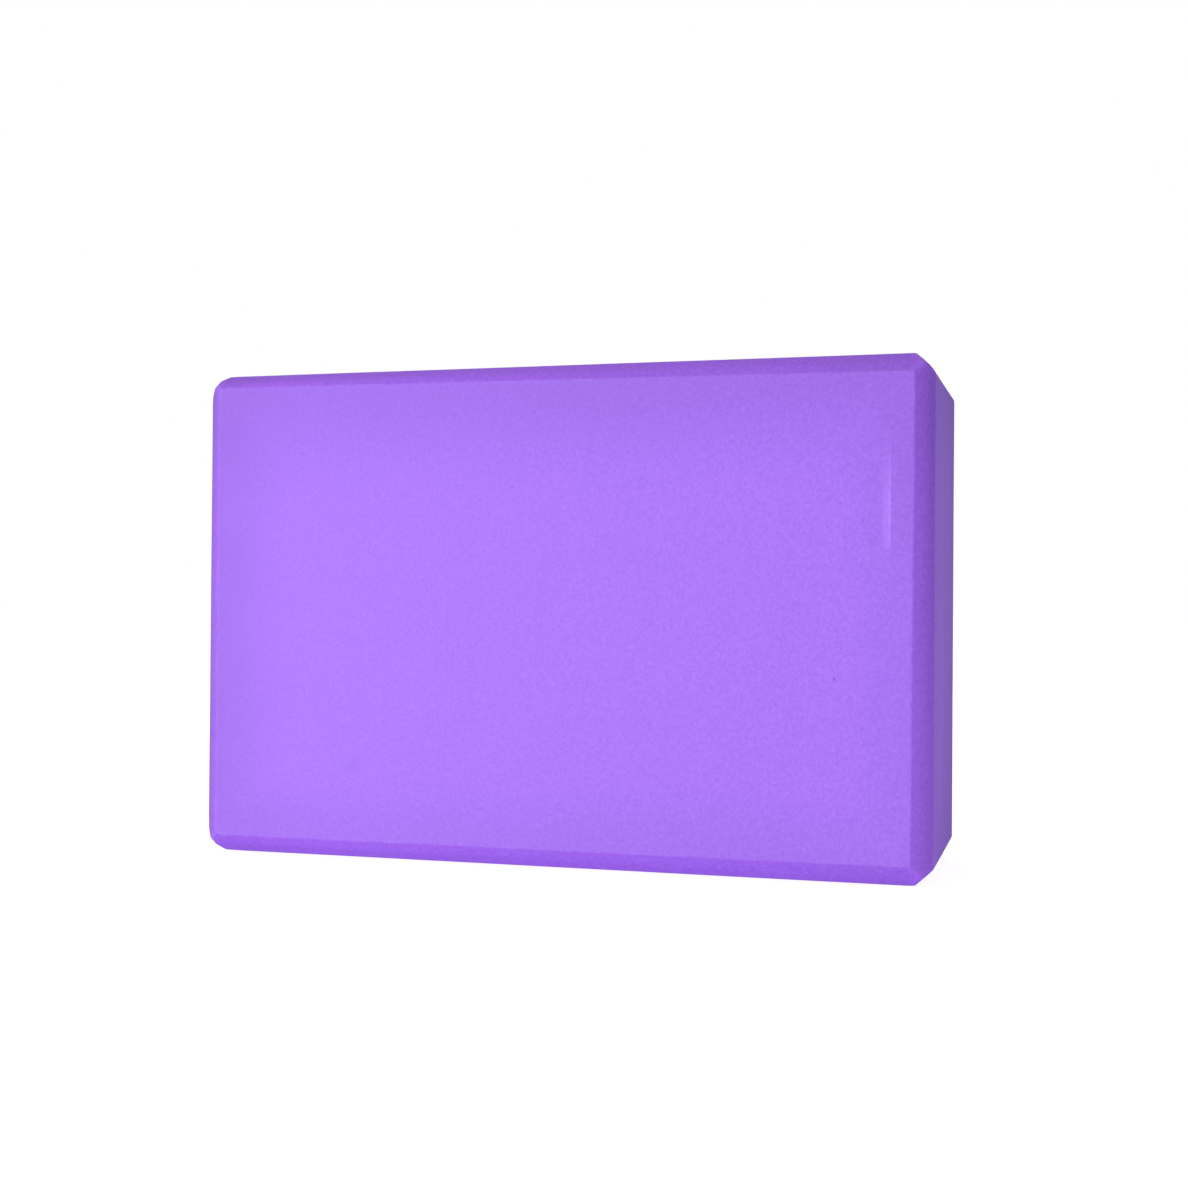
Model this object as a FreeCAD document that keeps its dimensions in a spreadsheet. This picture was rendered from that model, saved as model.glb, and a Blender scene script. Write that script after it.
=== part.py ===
import FreeCAD, Part
from enum import IntEnum
import os
import Sketcher

# Foam exercise block, standing on one long narrow face.
# Two sheets of closed-cell foam are joined face to face by a thin film of adhesive. The joined block is
# cut to size, and all twelve of its outer edges are bevelled at 45 degrees.
# Frame: origin under the middle of the block, on the surface that it stands on; X along its length, Y from
# the front large face to the rear one, Z up. The joint between the sheets lies in the plane Y = 0.

doc = FreeCAD.newDocument("foam_block")

# Driving dimensions in millimetres
sizes = doc.addObject("Spreadsheet::Sheet", "sizes")
dimensions = (
    ("length", "230", "left end to right end"),
    ("height", "152", "bottom narrow face to top narrow face"),
    ("slab_thickness", "37.4", "each foam sheet, from its large face to the joint"),
    ("film_thickness", "0.2", "adhesive between the sheets"),
    ("face_bevel", "5.5", "set-back of the bevels round the large faces"),
    ("corner_bevel", "6", "set-back of the bevels that run from front to rear"),
)
for row, (alias, value, meaning) in enumerate(dimensions, start=1):
    sizes.set(f"A{row}", value)
    sizes.setAlias(f"A{row}", alias)
    sizes.set(f"B{row}", meaning)
doc.recompute()

# Sides of the block as expressions on the sheet
LEFT = "-sizes.length / 2"
RIGHT = "sizes.length / 2"
BASE = "0"
TOP = "sizes.height"


class SketchNumber(IntEnum):
    """Numbers by which a sketch knows its horizontal axis, which starts at its origin, and a line's ends."""

    AXIS = -1
    START = 1
    END = 2


def origin_plane(body, role):
    """One of the body's own three planes, by its role."""
    return next(feature for feature in body.Origin.OriginFeatures if feature.Role == role)


def hold_corner(sketch, direction, line, expression, value):
    """Ties the start of a line to the sketch's origin along one direction."""
    origin = (SketchNumber.AXIS, SketchNumber.START)
    corner = (line, SketchNumber.START)
    index = sketch.addConstraint(Sketcher.Constraint(direction, *origin, *corner, value))
    sketch.setExpression(f"Constraints[{index}]", expression)


def sketch_outlines(body, name, role, outlines):
    """Sketch of closed outlines on one of the body's planes, each corner a pair of expressions."""
    sketch = body.newObject("Sketcher::SketchObject", name)
    sketch.AttachmentSupport = (origin_plane(body, role), "")
    sketch.MapMode = "FlatFace"
    for corners in outlines:
        first = sketch.GeometryCount
        places = [FreeCAD.Vector(*(sizes.evalExpression(term) for term in corner)) for corner in corners]
        for start, end in zip(places, places[1:] + places[:1]):
            sketch.addGeometry(Part.LineSegment(start, end))
        for step, (across, up) in enumerate(corners):
            line = first + step
            line_end = (line, SketchNumber.END)
            next_start = (first + (step + 1) % len(corners), SketchNumber.START)
            sketch.addConstraint(Sketcher.Constraint("Coincident", *line_end, *next_start))
            hold_corner(sketch, "DistanceX", line, across, places[step].x)
            if up == BASE:
                on_axis = (line, SketchNumber.START, SketchNumber.AXIS)
                sketch.addConstraint(Sketcher.Constraint("PointOnObject", *on_axis))
            else:
                hold_corner(sketch, "DistanceY", line, up, places[step].y)
    return sketch


def front_to_rear_edges(shape):
    """Names of the edges that run along Y."""
    depthwise = FreeCAD.Vector(0, 1, 0)
    names = []
    for number, edge in enumerate(shape.Edges, start=1):
        if edge.tangentAt(edge.FirstParameter).cross(depthwise).Length < edge.Tolerance:
            names.append(f"Edge{number}")
    return names


def bevelled_sheet(label, thickness, side):
    """Rectangular sheet that stands on the joint plane, with its four front-to-rear edges bevelled.

    side is "front", "rear" or "both": where the sheet lies, seen from the plane of its sketch.
    """
    body = doc.addObject("PartDesign::Body", label)
    body.Label = label
    rectangle = ((LEFT, BASE), (RIGHT, BASE), (RIGHT, TOP), (LEFT, TOP))
    pad = body.newObject("PartDesign::Pad", f"{label}_sheet")
    pad.Profile = sketch_outlines(body, f"{label}_outline", "XZ_Plane", (rectangle,))
    pad.setExpression("Length", thickness)
    pad.SideType = "Symmetric" if side == "both" else "One side"
    pad.Reversed = side == "rear"
    doc.recompute()
    bevels = body.newObject("PartDesign::Chamfer", f"{label}_corner_bevels")
    bevels.Base = (pad, front_to_rear_edges(pad.Shape))
    bevels.setExpression("Size", "sizes.corner_bevel")
    doc.recompute()
    return body


def cut_through(body, name, sketch):
    """Cuts a sketch's outlines right through the body, both ways from the sketch."""
    before = body.Shape.Volume
    pocket = body.newObject("PartDesign::Pocket", name)
    pocket.Profile = sketch
    pocket.Type = "ThroughAll"
    pocket.SideType = "Symmetric"
    doc.recompute()
    if not body.Shape.Volume < before:
        raise RuntimeError(f"{name} removes nothing")


def foam_slab(label, side):
    """Foam sheet on one side of the joint, with the four edges of its large face bevelled too."""
    body = bevelled_sheet(label, "sizes.slab_thickness", side)
    sign = "-" if side == "front" else ""
    face = f"{sign}sizes.slab_thickness"
    bevel_foot = f"{sign}(sizes.slab_thickness - sizes.face_bevel)"
    long_edges = (
        ((face, TOP), (face, f"{TOP} - sizes.face_bevel"), (bevel_foot, TOP)),
        ((face, BASE), (bevel_foot, BASE), (face, "sizes.face_bevel")),
    )
    upright_edges = (
        ((LEFT, face), (f"{LEFT} + sizes.face_bevel", face), (LEFT, bevel_foot)),
        ((RIGHT, face), (RIGHT, bevel_foot), (f"{RIGHT} - sizes.face_bevel", face)),
    )
    long_sketch = sketch_outlines(body, f"{label}_long_edges", "YZ_Plane", long_edges)
    cut_through(body, f"{label}_long_bevels", long_sketch)
    upright_sketch = sketch_outlines(body, f"{label}_upright_edges", "XY_Plane", upright_edges)
    cut_through(body, f"{label}_upright_bevels", upright_sketch)
    return body


# Front sheet: its inner face lies half the film's thickness in front of the joint plane
front_slab = foam_slab("front_slab", "front")
front_slab.setExpression("Placement.Base.y", "-sizes.film_thickness / 2")

# Adhesive film: covers the whole joint, and is trimmed and bevelled with the sheets
adhesive_film = bevelled_sheet("adhesive_film", "sizes.film_thickness", "both")

# Rear sheet: like the front one, the other way round
rear_slab = foam_slab("rear_slab", "rear")
rear_slab.setExpression("Placement.Base.y", "sizes.film_thickness / 2")

doc.recompute()
for item in doc.Objects:
    if "Invalid" in item.State or "Error" in item.State:
        raise RuntimeError(f"{item.Label} failed: {item.State}")

pieces = (front_slab, adhesive_film, rear_slab)
for piece in pieces:
    if piece.Shape.isNull() or not piece.Shape.isValid():
        raise RuntimeError(f"{piece.Label} has no valid shape")

os.makedirs("parts", exist_ok=True)
for piece in pieces:
    piece.Shape.exportStep(os.path.join("parts", f"{piece.Label}.step"))
    box = piece.Shape.BoundBox
    print(f"{piece.Label}: {box.XLength:.1f} x {box.YLength:.1f} x {box.ZLength:.1f} mm")
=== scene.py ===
from collections import namedtuple
import math

import bmesh
import bpy
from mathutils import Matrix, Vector, noise


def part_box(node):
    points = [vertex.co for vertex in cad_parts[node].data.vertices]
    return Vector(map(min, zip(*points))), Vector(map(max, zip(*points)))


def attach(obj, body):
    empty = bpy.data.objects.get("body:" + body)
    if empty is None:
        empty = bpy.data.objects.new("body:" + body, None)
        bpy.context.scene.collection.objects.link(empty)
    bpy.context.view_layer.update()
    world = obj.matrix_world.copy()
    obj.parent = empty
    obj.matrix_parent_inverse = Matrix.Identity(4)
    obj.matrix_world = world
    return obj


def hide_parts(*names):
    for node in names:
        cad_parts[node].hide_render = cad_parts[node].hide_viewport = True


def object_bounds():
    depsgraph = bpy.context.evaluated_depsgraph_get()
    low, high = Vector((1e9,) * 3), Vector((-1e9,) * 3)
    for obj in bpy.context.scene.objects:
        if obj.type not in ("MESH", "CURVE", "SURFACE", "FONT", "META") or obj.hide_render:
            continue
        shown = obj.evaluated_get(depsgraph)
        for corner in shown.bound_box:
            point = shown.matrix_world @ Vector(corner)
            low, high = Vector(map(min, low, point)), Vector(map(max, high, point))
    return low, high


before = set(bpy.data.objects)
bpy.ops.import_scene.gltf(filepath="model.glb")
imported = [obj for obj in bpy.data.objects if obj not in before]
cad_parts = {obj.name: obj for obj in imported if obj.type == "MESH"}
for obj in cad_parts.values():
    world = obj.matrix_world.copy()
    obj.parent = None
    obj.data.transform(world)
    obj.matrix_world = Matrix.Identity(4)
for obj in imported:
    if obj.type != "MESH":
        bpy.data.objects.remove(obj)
cad_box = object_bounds()

# Front foam sheet
# A sheet of violet closed-cell foam that carries the block's front face. It is bonded to the rear sheet
# over its whole inner face; then the pair is trimmed to size and a knife bevels every outer edge.

SNAP = 1e-6                 # distance within which a point lies on a plane


def whole(bm):
    """Everything in a mesh that a cutting plane can meet."""
    return bm.verts[:] + bm.edges[:] + bm.faces[:]


def shave(bm, place, normal):
    """Takes off what stands beyond a plane, as a bevelling knife does, and closes the cut."""
    cut = bmesh.ops.bisect_plane(
        bm, geom=whole(bm), dist=SNAP, plane_co=place, plane_no=normal, clear_outer=True
    )
    rim = [part for part in cut["geom_cut"] if isinstance(part, bmesh.types.BMEdge)]
    bmesh.ops.edgeloop_fill(bm, edges=rim)


def knife_cut(bm, start, end, across, inside):
    """Takes off what stands beyond the plane through three points, seen from a point inside."""
    start, end, across = Vector(start), Vector(end), Vector(across)
    normal = (end - start).cross(across - start)
    if normal.dot(start - inside) < 0:
        normal.negate()
    shave(bm, start, normal)


FRONT_Y, REAR_Y = cad_box[0][1], cad_box[1][1]  # where the block's large faces lie in depth

# The knife was not led quite parallel to the edges. Set-backs of the bevels that run from front to rear:
# down the end at the front, down the end at the rear, and along the narrow face at the front.
CORNER_BEVELS = {
    ("left", "bottom"): (0.0065, 0.0064, 0.0064),
    ("left", "top"): (0.0060, 0.0064, 0.0068),
    ("right", "bottom"): (0.0046, 0.0063, 0.0050),
    ("right", "top"): (0.0061, 0.0063, 0.0057),
}


def trimmed_sheet(low, high):
    """Sheet between two corners, with the four bevels that run from front to rear."""
    bm = bmesh.new()
    bmesh.ops.create_cube(bm, size=1)
    bmesh.ops.scale(bm, vec=high - low, verts=bm.verts)
    bmesh.ops.translate(bm, vec=(low + high) / 2, verts=bm.verts)
    for (end, level), (at_front, at_rear, along) in CORNER_BEVELS.items():
        x, inward = (low.x, 1) if end == "left" else (high.x, -1)
        z, up = (low.z, 1) if level == "bottom" else (high.z, -1)
        front_point = (x, FRONT_Y, z + up * at_front)
        rear_point = (x, REAR_Y, z + up * at_rear)
        knife_cut(bm, front_point, rear_point, (x + inward * along, FRONT_Y, z), (low + high) / 2)
    return bm


FRONT, REAR = -1, 1         # the two ways along Y that a large face can look
FACE_BEVEL = 0.0055         # set-back of a large face's bevels along the narrow faces and the ends


def bevel_large_face(bm, low, high, facing, widths):
    """Takes the bevels off the four edges of the large face."""
    face_y = low.y if facing == FRONT else high.y
    back_y = face_y - facing * FACE_BEVEL
    middle = (low + high) / 2
    for side, z, up in (("top", high.z, -1), ("bottom", low.z, 1)):
        first, last = widths[side]
        start, end = (low.x, face_y, z + up * first), (high.x, face_y, z + up * last)
        knife_cut(bm, start, end, (middle.x, back_y, z), middle)
    for side, x, inward in (("left", low.x, 1), ("right", high.x, -1)):
        first, last = widths[side]
        start, end = (x + inward * first, face_y, low.z), (x + inward * last, face_y, high.z)
        knife_cut(bm, start, end, (x, back_y, middle.z), middle)


# A nose is the tip of one of the block's corners, where three bevels meet: how much of the crown of the
# bevel from front to rear it has, how much of it is cut off, and how far from the tip it is rubbed.
Nose = namedtuple("Nose", "crown cut reach")
NOSES = {
    ("left", "bottom"): Nose(crown=1, cut=0.0009, reach=0.0085),
    ("left", "top"): Nose(crown=1, cut=0.0010, reach=0.007),
    ("right", "bottom"): Nose(crown=-0.5, cut=0, reach=0.0055),
    ("right", "top"): Nose(crown=1, cut=0, reach=0.0055),
}


def nose_at(place, centre):
    """What the nose is like at the block's corner that is nearest to a place."""
    end = "left" if place.x < centre.x else "right"
    level = "bottom" if place.z < centre.z else "top"
    return NOSES[end, level]


BEVEL_CROWN = 0.0005        # bulge of a bevel's middle, where the foam sprang back behind the knife


def lies_at(edge, levels):
    """Whether an edge lies wholly in one of the planes across Y at these levels."""
    return any(all(abs(vert.co.y - level) < SNAP for vert in edge.verts) for level in levels)


def crown_bevels(bm, low, high, joint_levels):
    """Runs a mesh line along the middle of each bevel and lifts it, so that the bevel bulges slightly.

    Gives the places of the noses' tips.
    """
    slants = []
    for edge in bm.edges:
        run = edge.verts[1].co - edge.verts[0].co
        if lies_at(edge, joint_levels) and abs(run.x) > SNAP and abs(run.z) > SNAP:
            slants.append(edge)
    halved = bmesh.ops.subdivide_edges(bm, edges=slants, cuts=1)
    middles = [part for part in halved["geom_inner"] if isinstance(part, bmesh.types.BMVert)]
    sides = ((0, low.x), (0, high.x), (1, low.y), (1, high.y), (2, low.z), (2, high.z))
    tips = [vert for vert in bm.verts if all(abs(vert.co[axis] - level) > SNAP for axis, level in sides)]
    joint_faces = [face for face in bm.faces if all(lies_at(edge, joint_levels) for edge in face.edges)]
    bmesh.ops.connect_verts(bm, verts=tips + middles, faces_exclude=joint_faces)
    centre = (low + high) / 2
    lift = BEVEL_CROWN / math.sqrt(2)
    for vert in middles:
        vert.co.x += math.copysign(lift, vert.co.x - centre.x)
        vert.co.z += math.copysign(lift, vert.co.z - centre.z)
    for vert in tips:
        crown = nose_at(vert.co, centre).crown
        for axis, share in enumerate((crown, 2 - crown, crown)):
            vert.co[axis] += share * math.copysign(lift, vert.co[axis] - centre[axis])
    return [vert.co.copy() for vert in tips]


def cut_noses(bm, tips, centre):
    """Cuts the noses short."""
    for tip in tips:
        cut = nose_at(tip, centre).cut
        if cut:
            outward = Vector(math.copysign(1, part) for part in tip - centre).normalized()
            shave(bm, tip - outward * cut, outward)


FOLD_ANGLE = math.radians(20)   # the surface turns by more than this at a cut edge
ARRIS_SOFTNESS = 0.0005         # set-back of the slight rounding that every cut edge has
ARRIS_SEGMENTS = 5              # rows of mesh in that rounding


def folds_in(bm):
    """Edges where the surface turns sharply."""
    return [edge for edge in bm.edges if edge.calc_face_angle(0) > FOLD_ANGLE]


def soften_arrises(bm, joint_levels):
    """Rounds the cut edges a little, except the rims at the joint, and marks the rounded faces."""
    rounded = bm.faces.layers.int.new("rounded")
    rounding = bmesh.ops.bevel(
        bm, geom=[edge for edge in folds_in(bm) if not lies_at(edge, joint_levels)],
        offset=ARRIS_SOFTNESS, offset_type="OFFSET", affect="EDGES",
        segments=ARRIS_SEGMENTS, profile=0.5, material=-1, clamp_overlap=True,
    )
    for face in rounding["faces"]:
        face[rounded] = 1
    return rounded


# The two halves of a crowned bevel meet at an angle between these.
FLATTEST_RIDGE = math.radians(4)
SHARPEST_RIDGE = math.radians(40)


def round_bevels(bm, rounded, joint_levels):
    """Divides each half of a crowned bevel lengthwise and lifts the new line, which rounds the crown."""
    across = []
    for ridge in bm.edges:
        if any(face[rounded] for face in ridge.link_faces):
            continue
        if FLATTEST_RIDGE < ridge.calc_face_angle(0) < SHARPEST_RIDGE:
            for edge in (edge for face in ridge.link_faces for edge in face.edges):
                if edge != ridge and edge not in across and set(edge.verts) & set(ridge.verts):
                    across.append(edge)
    divided = bmesh.ops.subdivide_edges(bm, edges=across, cuts=1)
    bm.normal_update()
    lines = [part for part in divided["geom_inner"] if isinstance(part, bmesh.types.BMEdge)]
    for line in lines:
        one, other = line.link_faces
        outward = (one.normal + other.normal).normalized()
        for vert in line.verts:
            lift = outward * BEVEL_CROWN / 4
            if any(abs(vert.co.y - level) < SNAP for level in joint_levels):
                lift.y = 0
            vert.co += lift


SEAM_EASE = 0.00006         # set-back of the sheet's rim where it meets the film


def ease_rim(bm, joint_y):
    """Barely eases the rim at the joint."""
    bmesh.ops.bevel(
        bm, geom=[edge for edge in folds_in(bm) if lies_at(edge, (joint_y,))],
        offset=SEAM_EASE, offset_type="OFFSET", affect="EDGES",
        segments=1, profile=0.5, material=-1, clamp_overlap=True,
    )


MESH_SPACING = 0.002            # distance between the rows of the surface mesh
LONG_EDGE = 5 * MESH_SPACING    # edges longer than this are divided
IN_LINE = 0.99                  # least share of an edge's length that lies along its axis


def divide_faces(bm):
    """Divides the long edges, axis by axis, into rows of mesh at an even spacing."""
    for axis in (0, 2, 1):
        along = []
        for edge in bm.edges:
            run = edge.verts[1].co - edge.verts[0].co
            if abs(run[axis]) > max(LONG_EDGE, IN_LINE * run.length):
                along.append(edge)
        longest = max(edge.calc_length() for edge in along)
        rows = round(longest / MESH_SPACING)
        bmesh.ops.subdivide_edges(bm, edges=along, cuts=rows - 1, use_grid_fill=True)


NOSE_RUBS = 8               # how many times the noses are smoothed


def rub_noses(bm, tips, centre):
    """Rounds the noses."""
    wear_and_highlight_share = []
    for tip in tips:
        reach = nose_at(tip, centre).reach
        wear_and_highlight_share += [vert for vert in bm.verts if (vert.co - tip).length < reach]
    for _ in range(NOSE_RUBS):
        bmesh.ops.smooth_vert(
            bm, verts=wear_and_highlight_share, factor=0.5, use_axis_x=True, use_axis_y=True, use_axis_z=True
        )


def facing_of(vert):
    """Which way the surface looks at a point, led by the larger faces there."""
    return sum((face.normal * face.calc_area() for face in vert.link_faces), Vector()).normalized()


def ramp(value, start, end):
    """Smooth step from 0 at start to 1 at end."""
    share = min(max((value - start) / (end - start), 0), 1)
    return share * share * (3 - 2 * share)


FLAT_LEAN = 0.985           # share of a face's direction that lies along one axis, on a flat face
BEVEL_LEAN = 0.87           # and on a bevel


def mark_cuts(bm, rounded):
    """Marks the rounded edges, which get wear and a painted highlight, and the bevels, which get painted
    shade.
    """
    bm.normal_update()
    wear_and_highlight = bm.verts.layers.float.new("wear_and_highlight")
    bevel = bm.verts.layers.float.new("bevel")
    for vert in bm.verts:
        vert[wear_and_highlight] = float(all(face[rounded] for face in vert.link_faces))
        vert[bevel] = ramp(max(abs(part) for part in facing_of(vert)), FLAT_LEAN, BEVEL_LEAN)


UNEVENNESS = 0.00008        # most that the cut faces dip below their planes
DIPS_PER_METRE = 24         # how closely those dips follow each other


def make_uneven(bm, joint_y):
    """Lets the cut faces dip a little, as foam does that gives way under the knife."""
    bm.normal_update()
    dips = {}
    for vert in bm.verts:
        if abs(vert.co.y - joint_y) > SNAP:
            level = 0.5 + 0.5 * noise.noise(vert.co * DIPS_PER_METRE)
            dips[vert] = vert.normal * UNEVENNESS * level
    for vert, dip in dips.items():
        vert.co -= dip


def foam_sheet(node, facing, widths):
    """Bevelled sheet in the place of a CAD node, with its large face to the front or the rear."""
    low, high = (Vector(corner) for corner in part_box(node))
    centre = (low + high) / 2
    joint_y = high.y if facing == FRONT else low.y
    bm = trimmed_sheet(low, high)
    bevel_large_face(bm, low, high, facing, widths)
    tips = crown_bevels(bm, low, high, (joint_y,))
    cut_noses(bm, tips, centre)
    rounded = soften_arrises(bm, (joint_y,))
    round_bevels(bm, rounded, (joint_y,))
    ease_rim(bm, joint_y)
    divide_faces(bm)
    rub_noses(bm, tips, centre)
    mark_cuts(bm, rounded)
    make_uneven(bm, joint_y)
    return bm


def score(bm, place, normal):
    """Adds a row of mesh lines where a plane meets the surface."""
    bmesh.ops.bisect_plane(bm, geom=whole(bm), dist=SNAP, plane_co=place, plane_no=normal)


def on_front(vert):
    """Whether a point lies on the front face, in one of its dips or not."""
    return abs(vert.co.y - FRONT_Y) < 2 * UNEVENNESS


# A shallow crease that something pressed into the front face near its right edge. Its left side slopes
# gently, its right side rises steeply to a straight crest.
CREASE_CREST = 0.1029       # place of the crest along the length
CREASE_LIP = 0.0004         # width of the narrow row of mesh that keeps the crest crisp
CREASE_STEEP = 0.0024       # width of the steep side
CREASE_GENTLE = 0.005       # width of the gentle side
CREASE_DEPTH = 0.00022
CREASE_FOOT = 0.0955        # height of its lower end
CREASE_RISE = 0.0015        # height above that over which it sinks in
CREASE_FADE = 0.105         # height where it starts to fade out
CREASE_HEAD = 0.131         # height where it has faded out


def press_crease(bm):
    """Presses the crease into the front face."""
    valley = CREASE_CREST - CREASE_STEEP
    half_way = CREASE_CREST - CREASE_STEEP / 2
    for x in (valley - CREASE_GENTLE, valley, half_way, CREASE_CREST, CREASE_CREST + CREASE_LIP):
        score(bm, (x, 0, 0), (1, 0, 0))
    third = CREASE_RISE / 3
    for z in (CREASE_FOOT, CREASE_FOOT + third, CREASE_FOOT + 2 * third, CREASE_HEAD):
        score(bm, (0, 0, z), (0, 0, 1))
    for vert in bm.verts:
        if not on_front(vert) or vert.co.x > CREASE_CREST:
            continue
        if vert.co.x > valley:
            sink = (CREASE_CREST - vert.co.x) / CREASE_STEEP
        else:
            sink = 1 - ramp(valley - vert.co.x, 0, CREASE_GENTLE)
        sink *= ramp(vert.co.z, CREASE_FOOT, CREASE_FOOT + CREASE_RISE)
        sink *= 1 - ramp(vert.co.z, CREASE_FADE, CREASE_HEAD)
        vert.co.y += CREASE_DEPTH * sink


# An open pore in the front face.
PORE_PLACE = Vector((0.0876, FRONT_Y, 0.0587))
PORE_RADIUS = 0.00055
PORE_DEPTH = 0.0006
PORE_SURROUND = 0.0025      # how far from its middle the mesh is divided more finely


def open_pore(bm):
    """Opens a single burst pore in the front face, after dividing the mesh more finely round it."""
    for _ in range(2):
        around = []
        for edge in bm.edges:
            middle = (edge.verts[0].co + edge.verts[1].co) / 2
            if (middle - PORE_PLACE).length < PORE_SURROUND:
                around.append(edge)
        bmesh.ops.subdivide_edges(bm, edges=around, cuts=2, use_grid_fill=True)
    for vert in bm.verts:
        off_centre = math.hypot(vert.co.x - PORE_PLACE.x, vert.co.z - PORE_PLACE.z)
        if off_centre < PORE_RADIUS and on_front(vert):
            vert.co.y += PORE_DEPTH * (1 - ramp(off_centre, 0, PORE_RADIUS))


def finished_piece(name, bm, material):
    """Object made from a mesh, shaded so that its large faces stay flat up to the rounded edges."""
    bm.normal_update()
    normals = [facing_of(vert) for vert in bm.verts]
    mesh = bpy.data.meshes.new(name)
    bm.to_mesh(mesh)
    bm.free()
    mesh.shade_smooth()
    mesh.normals_split_custom_set_from_vertices(normals)
    mesh.materials.append(material)
    piece = bpy.data.objects.new(name, mesh)
    bpy.context.scene.collection.objects.link(piece)
    return piece


def new_finish(name):
    """Material with a shader, and the coordinates of the piece that wears it."""
    material = bpy.data.materials.new(name)
    material.use_nodes = True
    place = material.node_tree.nodes.new("ShaderNodeTexCoord").outputs["Object"]
    return material.node_tree, material.node_tree.nodes["Principled BSDF"], place, material


def coordinates(tree, place):
    """X, Y and Z of a place, each on its own."""
    node = tree.nodes.new("ShaderNodeSeparateXYZ")
    tree.links.new(place, node.inputs["Vector"])
    return [node.outputs[axis] for axis in "XYZ"]


def mark(tree, name):
    """Value that the mesh carries under a name."""
    node = tree.nodes.new("ShaderNodeAttribute")
    node.attribute_name = name
    return node.outputs["Fac"]


def cloud(tree, place, per_metre, detail):
    """Soft random pattern from 0 to 1, with so many swells in a metre."""
    pattern = tree.nodes.new("ShaderNodeTexNoise")
    pattern.inputs["Scale"].default_value = per_metre
    pattern.inputs["Detail"].default_value = detail
    pattern.inputs["Roughness"].default_value = 0.6
    tree.links.new(place, pattern.inputs["Vector"])
    return pattern.outputs["Fac"]


def cell_pattern(tree, place, per_metre):
    """Distance to the middle of the nearest foam cell, with so many cells in a metre."""
    pattern = tree.nodes.new("ShaderNodeTexVoronoi")
    pattern.inputs["Scale"].default_value = per_metre
    tree.links.new(place, pattern.inputs["Vector"])
    return pattern.outputs["Distance"]


def spread(tree, value, start, end, low=0.0, high=1.0):
    """Value run smoothly from low at start to high at end."""
    node = tree.nodes.new("ShaderNodeMapRange")
    node.interpolation_type = "SMOOTHSTEP"
    for socket, number in (("From Min", start), ("From Max", end), ("To Min", low), ("To Max", high)):
        node.inputs[socket].default_value = number
    tree.links.new(value, node.inputs["Value"])
    return node.outputs["Result"]


def reckon(tree, operation, first, second):
    """One sum on two values, either of which may be a plain number."""
    node = tree.nodes.new("ShaderNodeMath")
    node.operation = operation
    for socket, value in zip(node.inputs, (first, second)):
        if isinstance(value, (int, float)):
            socket.default_value = value
        else:
            tree.links.new(value, socket)
    return node.outputs["Value"]


def together(tree, share, *others):
    """Shares multiplied, so that the result is full only where all of them are."""
    for other in others:
        share = reckon(tree, "MULTIPLY", share, other)
    return share


def edge_distance(tree, place):
    """Distance of a point on the block from its nearest edge: the middle one of three distances."""
    distances = []
    for part, low, high in zip(coordinates(tree, place), *cad_box):
        off_middle = reckon(tree, "ABSOLUTE", reckon(tree, "SUBTRACT", part, (low + high) / 2), 0)
        distances.append(reckon(tree, "SUBTRACT", (high - low) / 2, off_middle))
    lesser = reckon(tree, "MINIMUM", distances[0], distances[1])
    greater = reckon(tree, "MAXIMUM", distances[0], distances[1])
    return reckon(tree, "MAXIMUM", lesser, reckon(tree, "MINIMUM", greater, distances[2]))


CLOUD_RANGE = (0.3, 0.7)    # most of a cloud's values lie between these


def two_tone(tree, value, dark, light):
    """Colour that runs between two tones with a cloud's values."""
    node = tree.nodes.new("ShaderNodeValToRGB")
    for element, position, colour in zip(node.color_ramp.elements, CLOUD_RANGE, (dark, light)):
        element.position = position
        element.color = (*colour, 1)
    tree.links.new(value, node.inputs["Fac"])
    return node.outputs["Color"]


def dye(tree, colour, over, share, how="MIX"):
    """Colour with another one laid over it by a share that varies over the surface."""
    node = tree.nodes.new("ShaderNodeMix")
    node.data_type = "RGBA"
    node.blend_type = how
    node.inputs["B"].default_value = (*over, 1)
    tree.links.new(colour, node.inputs["A"])
    tree.links.new(share, node.inputs["Factor"])
    return node.outputs["Result"]


# A tint multiplies the foam's colour. It sets in at the start and is full at the end, both in metres.
Tint = namedtuple("Tint", "colour start end")


def tinted(tree, colour, tint, position, *limits):
    """Colour with a tint that follows one position on the block, and that other shares may limit."""
    share = together(tree, spread(tree, position, tint.start, tint.end), *limits)
    return dye(tree, colour, tint.colour, share, "MULTIPLY")


def emboss(tree, shader, relief, strength, depth):
    """Gives a surface a fine relief."""
    node = tree.nodes.new("ShaderNodeBump")
    node.inputs["Strength"].default_value = strength
    node.inputs["Distance"].default_value = depth
    tree.links.new(relief, node.inputs["Height"])
    tree.links.new(node.outputs["Normal"], shader.inputs["Normal"])


# Tones of the foam's specks and clouds, and how many of them there are in a metre.
DARK_SPECKS = (0.314, 0.112, 0.770)
PALE_SPECKS = (0.398, 0.1775, 0.862)
SPECKS_PER_METRE = 980
CELLS_PER_METRE = 1900
CLOUDING = (0.93, 0.93, 0.93)
CLOUDS_PER_METRE = 24

# Painted shade near the edges, on the upper part and towards the rear, and painted light on the top
# and bottom bevels and faces: tints by the distance from the nearest edge, by height and by depth.
BORDER_SHADE = Tint((0.9, 0.895, 0.915), 0.031, 0.003)
UPPER_SHADE = Tint((0.925, 0.915, 0.94), 0.108, 0.138)
TOP_BEVEL_LIGHT = Tint((1.08, 1.03, 1.08), 0.1445, 0.149)
TOP_LIGHT_START = (-0.112, -0.085)  # it sets in between these places along the length
BOTTOM_BEVEL_LIGHT = Tint((1.04, 1.01, 1.06), 0.0075, 0.003)
REAR_SHADE = Tint((0.855, 0.89, 0.865), -0.03, 0.03)
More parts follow.
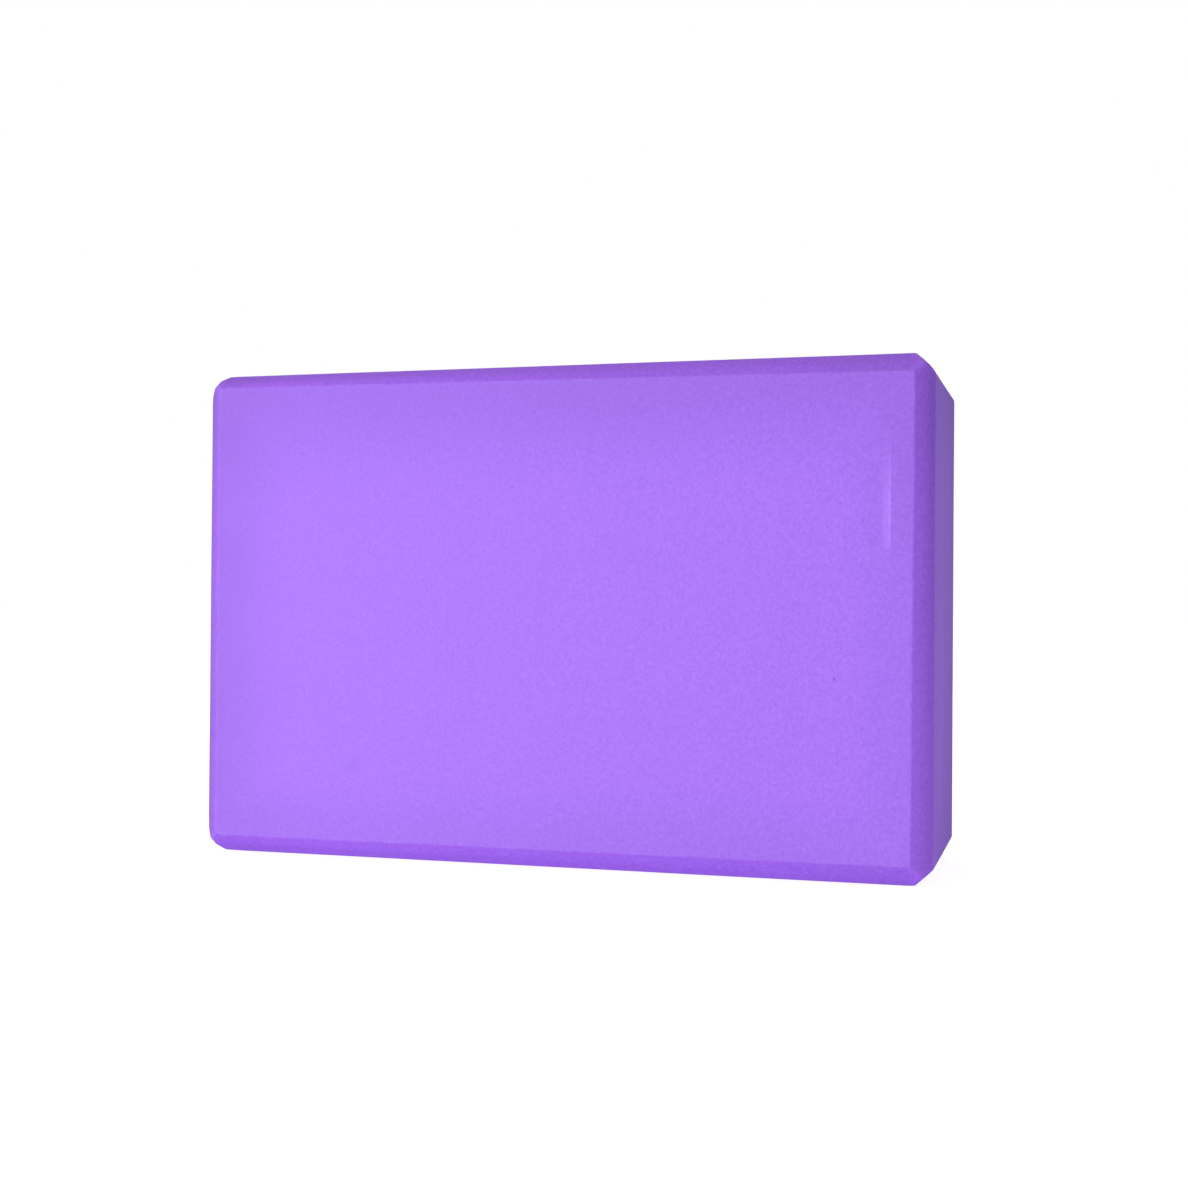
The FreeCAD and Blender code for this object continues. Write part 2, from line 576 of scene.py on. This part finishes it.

# Tints along the length: painted shade in blotches towards the left end and on its bevel, a deeper
# violet of painted shade on the other bevels, and painted shade on the long bevels near the right end.
LEFT_END_SHADE = Tint((0.92, 0.87, 0.92), -0.074, -0.112)
BLOTCHES_PER_METRE = 55
LEFT_BEVEL_SHADE = Tint((0.875, 0.935, 0.845), -0.1095, -0.1125)
BEVEL_SHADE = Tint((0.995, 0.865, 1.015), -0.1125, -0.108)
RIGHT_END_SHADE = Tint((0.94, 0.965, 0.935), 0.07, 0.1045)
RIGHT_END_SHADE_STOP = (0.1095, 0.1075)  # it stops between these places

# Paler foam on the rounded edges, partly wear and partly a painted highlight, and how much of it shows.
WEAR_AND_HIGHLIGHT_VIOLET = (0.60, 0.30, 1.0)
WEAR_AND_HIGHLIGHT_SHARES = (0.03, 0.08)
WEAR_AND_HIGHLIGHT_PER_METRE = 180

FOAM_ROUGHNESS = (0.66, 0.8)


def foam_finish(name):
    """Matte speckled foam, with painted shade and painted light over it, and wear and a painted highlight
    on its edges.

    The colour isn't joined to the shader yet, because the front sheet lays more over it.
    """
    tree, shader, place, material = new_finish(name)
    along, depth, height = coordinates(tree, place)
    bevels = mark(tree, "bevel")
    specks = cloud(tree, place, SPECKS_PER_METRE, detail=3)
    colour = two_tone(tree, specks, DARK_SPECKS, PALE_SPECKS)
    colour = dye(tree, colour, CLOUDING, cloud(tree, place, CLOUDS_PER_METRE, detail=3), "MULTIPLY")
    # painted shade, darker near every edge
    colour = tinted(tree, colour, BORDER_SHADE, edge_distance(tree, place))
    # painted shade, darker on the upper part
    colour = tinted(tree, colour, UPPER_SHADE, height)
    # painted light on the top bevel and the top face
    colour = tinted(tree, colour, TOP_BEVEL_LIGHT, height, spread(tree, along, *TOP_LIGHT_START))
    # painted light on the bottom bevel and the bottom face
    colour = tinted(tree, colour, BOTTOM_BEVEL_LIGHT, height)
    # painted shade, darker towards the rear
    colour = tinted(tree, colour, REAR_SHADE, depth)
    # painted shade in blotches towards the left end
    blotches = cloud(tree, place, BLOTCHES_PER_METRE, detail=2)
    shade_blotches = spread(tree, blotches, start=0.35, end=0.65, low=0.7, high=1)
    colour = tinted(tree, colour, LEFT_END_SHADE, along, shade_blotches)
    # painted shade on the left bevel and the left end
    colour = tinted(tree, colour, LEFT_BEVEL_SHADE, along)
    # painted shade, a deeper violet on the bevels
    colour = tinted(tree, colour, BEVEL_SHADE, along, bevels)
    # painted shade on the long bevels near the right end
    colour = tinted(tree, colour, RIGHT_END_SHADE, along, spread(tree, along, *RIGHT_END_SHADE_STOP), bevels)
    # wear and a painted highlight on the rounded edges
    wear_and_highlight_cloud = cloud(tree, place, WEAR_AND_HIGHLIGHT_PER_METRE, detail=2)
    wear_and_highlight_share = together(tree, mark(tree, "wear_and_highlight"), spread(tree, wear_and_highlight_cloud, *CLOUD_RANGE, *WEAR_AND_HIGHLIGHT_SHARES))
    colour = dye(tree, colour, WEAR_AND_HIGHLIGHT_VIOLET, wear_and_highlight_share)
    shader.inputs["Specular IOR Level"].default_value = 0.75
    tree.links.new(spread(tree, specks, *CLOUD_RANGE, *FOAM_ROUGHNESS), shader.inputs["Roughness"])
    relief = reckon(tree, "ADD", cell_pattern(tree, place, CELLS_PER_METRE), specks)
    emboss(tree, shader, relief, strength=0.2, depth=0.0003)
    return tree, shader, place, colour, material


# Colours of the foam at the crease: paler on a line and a band left of the crest, where it was scuffed,
# and painted shade on a strip right of it. Each pair says where the change sets in and where it is full.
SCUFFED_VIOLET = (0.52, 0.31, 0.92)
SCUFFS_PER_METRE = 260
SCUFF_LINE = (CREASE_CREST - 0.0008, CREASE_CREST - 0.0003)
SCUFF_BAND = (CREASE_CREST - 0.0026, CREASE_CREST - 0.0012)
SCUFF_STOP = (CREASE_CREST + 0.0003, CREASE_CREST + 0.0001)
SCUFF_FOOT = (CREASE_FOOT - 0.0003, CREASE_FOOT + 0.0008)
SCUFF_HEAD = (CREASE_HEAD, CREASE_FADE)
STRIP_SHADE = (0.955, 0.95, 0.955)
STRIP_LEFT = (CREASE_CREST, CREASE_CREST + 0.0006)
STRIP_RIGHT = (CREASE_CREST + 0.0072, CREASE_CREST + 0.0052)
STRIP_FOOT = (CREASE_FOOT - 0.006, CREASE_FOOT + 0.004)
STRIP_HEAD = (CREASE_HEAD + 0.003, CREASE_FADE + 0.01)

# A faint grey smudge. It fades with the square of the distance from its middle, and is full nowhere.
SMUDGE_GREY = (0.93, 0.93, 0.93)
SMUDGE_X, SMUDGE_Z = -0.0624, 0.0288
SMUDGE_FADE = (0.000017, -0.000003)


def creased_foam():
    """The front sheet's foam, paler along the crease, with painted shade beside it, and with one faint
    smudge.
    """
    tree, shader, place, colour, material = foam_finish("front_violet_foam")
    x, _, z = coordinates(tree, place)
    scuffs = cloud(tree, place, SCUFFS_PER_METRE, detail=1)
    scuffs = spread(tree, scuffs, start=0.35, end=0.6, low=0.18, high=0.38)
    scuff_line = together(tree, spread(tree, x, *SCUFF_LINE), scuffs)
    scuff_band = spread(tree, x, *SCUFF_BAND, high=0.12)
    scuffed = together(
        tree, reckon(tree, "MAXIMUM", scuff_line, scuff_band), spread(tree, x, *SCUFF_STOP),
        spread(tree, z, *SCUFF_FOOT), spread(tree, z, *SCUFF_HEAD),
    )
    colour = dye(tree, colour, SCUFFED_VIOLET, scuffed)
    # painted shade on the strip right of the crest
    beside = together(
        tree, spread(tree, x, *STRIP_LEFT), spread(tree, x, *STRIP_RIGHT),
        spread(tree, z, *STRIP_FOOT), spread(tree, z, *STRIP_HEAD),
    )
    colour = dye(tree, colour, STRIP_SHADE, beside, "MULTIPLY")
    off_x = reckon(tree, "POWER", reckon(tree, "SUBTRACT", x, SMUDGE_X), 2)
    off_z = reckon(tree, "POWER", reckon(tree, "SUBTRACT", z, SMUDGE_Z), 2)
    smudge = spread(tree, reckon(tree, "ADD", off_x, off_z), *SMUDGE_FADE)
    colour = dye(tree, colour, SMUDGE_GREY, smudge, "MULTIPLY")
    tree.links.new(colour, shader.inputs["Base Color"])
    return material


# Width of each bevel on the front face, at its left and right ends or at its lower and upper ends.
FRONT_BEVELS = {
    "top": (0.0043, 0.0058),
    "bottom": (0.0056, 0.0063),
    "left": (0.0055, 0.0055),
    "right": (0.0061, 0.0054),
}

front_mesh = foam_sheet("front_slab", FRONT, FRONT_BEVELS)
press_crease(front_mesh)
open_pore(front_mesh)
front_sheet = finished_piece("front_foam_sheet", front_mesh, creased_foam())
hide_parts("front_slab")
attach(front_sheet, "root")

# Adhesive film
# A thin film of contact adhesive over the whole joint. It is rolled onto both sheets before they are
# pressed together, and is trimmed with them, so only its edge shows, as a hairline round the block.

FILM_RECESS = 0.00004       # how far the trimmed edge of the film lies below the foam
DARK_STREAKS = (0.31, 0.118, 0.75)
PALE_STREAKS = (0.36, 0.142, 0.84)
STREAKS_PER_METRE = 400
FILM_ROUGHNESS = (0.45, 0.6)


def dried_adhesive():
    """Satin film, a little darker than the foam, with a fine uneven edge."""
    tree, shader, place, material = new_finish("dried_adhesive")
    streaks = cloud(tree, place, STREAKS_PER_METRE, detail=2)
    tree.links.new(two_tone(tree, streaks, DARK_STREAKS, PALE_STREAKS), shader.inputs["Base Color"])
    tree.links.new(spread(tree, streaks, *CLOUD_RANGE, *FILM_ROUGHNESS), shader.inputs["Roughness"])
    emboss(tree, shader, streaks, strength=0.3, depth=0.0001)
    return material


recess = Vector((FILM_RECESS, 0, FILM_RECESS))
film_low, film_high = (Vector(corner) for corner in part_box("adhesive_film"))
film_low += recess
film_high -= recess
film_levels = (film_low.y, film_high.y)
film_mesh = trimmed_sheet(film_low, film_high)
crown_bevels(film_mesh, film_low, film_high, film_levels)
film_rounded = soften_arrises(film_mesh, film_levels)
round_bevels(film_mesh, film_rounded, film_levels)
adhesive_film = finished_piece("joint_adhesive_film", film_mesh, dried_adhesive())
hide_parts("adhesive_film")
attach(adhesive_film, "root")

# Rear foam sheet
# The front sheet's twin, cut from the same violet foam, with its large face to the rear. The adhesive
# holds it to the front sheet, and both are trimmed and bevelled in one pass.

REAR_BEVELS = dict.fromkeys(FRONT_BEVELS, (FACE_BEVEL, FACE_BEVEL))


def plain_foam():
    """The same foam without a crease or a smudge."""
    tree, shader, _, colour, material = foam_finish("rear_violet_foam")
    tree.links.new(colour, shader.inputs["Base Color"])
    return material


rear_sheet = finished_piece("rear_foam_sheet", foam_sheet("rear_slab", REAR, REAR_BEVELS), plain_foam())
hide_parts("rear_slab")
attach(rear_sheet, "root")

# Floor
# A plain white table top that the block stands on, wide enough that its edges stay out of every view.
# Only the camera sees it: the light that it would throw back up comes from the lower half of the room.

FLOOR_HALF_WIDTH = 30
TABLE_GREY = (0.4, 0.4, 0.4, 1)
TABLE_GLOW = (1, 1, 1, 1)


def white_table():
    """Matte surface with a glow of its own, so that it stays white away from the lights."""
    material = bpy.data.materials.new("white_table")
    material.use_nodes = True
    shader = material.node_tree.nodes["Principled BSDF"]
    shader.inputs["Base Color"].default_value = TABLE_GREY
    shader.inputs["Roughness"].default_value = 0.9
    shader.inputs["Specular IOR Level"].default_value = 0
    shader.inputs["Emission Color"].default_value = TABLE_GLOW
    shader.inputs["Emission Strength"].default_value = 0.86
    return material


floor_mesh = bmesh.new()
bmesh.ops.create_grid(floor_mesh, x_segments=1, y_segments=1, size=FLOOR_HALF_WIDTH)
table_top = finished_piece("table_top", floor_mesh, white_table())
table_top.visible_diffuse = False
table_top.visible_glossy = False
table_top.visible_shadow = False

# Studio light
# A soft key light in front on the left, a weak card low on the right, and two soft lights behind. The
# room looks white, and glows more violet below, where a table would throw the block's colour back up.

LIGHTS_AIM = Vector((-0.02, -0.0375, 0.07))  # the point on the front face that the lights look at


def softbox(name, place, width, watts):
    """Square soft light at a place, turned to the block."""
    light = bpy.data.lights.new(name, "AREA")
    light.size = width
    light.energy = watts
    lamp = bpy.data.objects.new(name, light)
    lamp.location = place
    lamp.rotation_euler = (LIGHTS_AIM - Vector(place)).to_track_quat("-Z", "Y").to_euler()
    lamp.visible_camera = False
    bpy.context.scene.collection.objects.link(lamp)


softbox("key_light", place=(-0.695, -1.207, 0.135), width=0.34, watts=14.1)
softbox("low_card", place=(0.2, -0.1, 0.015), width=0.08, watts=0.019)
softbox("rear_light", place=(-0.4, 1.1, 0.6), width=0.6, watts=5)
softbox("grazing_light", place=(0.18, 1.1, 0.12), width=0.4, watts=0.5)

GLOW_BELOW = (0.523, 0.435, 0.67)
GLOW_ABOVE = (0.485, 0.485, 0.485)
HORIZON = (-0.02, 0.02)     # rise of the directions between which one glow gives way to the other
LOOKS_WHITE = (1, 1, 1)

room = bpy.data.worlds.new("white_room")
room.use_nodes = True
bpy.context.scene.world = room
room_tree = room.node_tree
direction = room_tree.nodes.new("ShaderNodeTexCoord").outputs["Generated"]
_, _, rise = coordinates(room_tree, direction)
room_glow = two_tone(room_tree, spread(room_tree, rise, *HORIZON), GLOW_BELOW, GLOW_ABOVE)
seen = room_tree.nodes.new("ShaderNodeLightPath").outputs["Is Camera Ray"]
room_colour = dye(room_tree, room_glow, LOOKS_WHITE, seen)
room_tree.links.new(room_colour, room_tree.nodes["Background"].inputs["Color"])
bpy.context.scene.view_settings.view_transform = "Standard"

# Camera
# A camera half a metre away, to the right of the block's middle and at the middle of its height. Its
# place, direction and lens are fitted to the block's edges in the photo.

lens = bpy.data.cameras.new("photo_camera")
lens.sensor_width = 36
lens.lens = 50.91
camera = bpy.data.objects.new("photo_camera", lens)
camera.location = (0.15929, -0.51574, 0.07804)
camera.rotation_euler = (math.radians(90.528), math.radians(-0.424), math.radians(16.698))
bpy.context.scene.collection.objects.link(camera)
bpy.context.scene.camera = camera
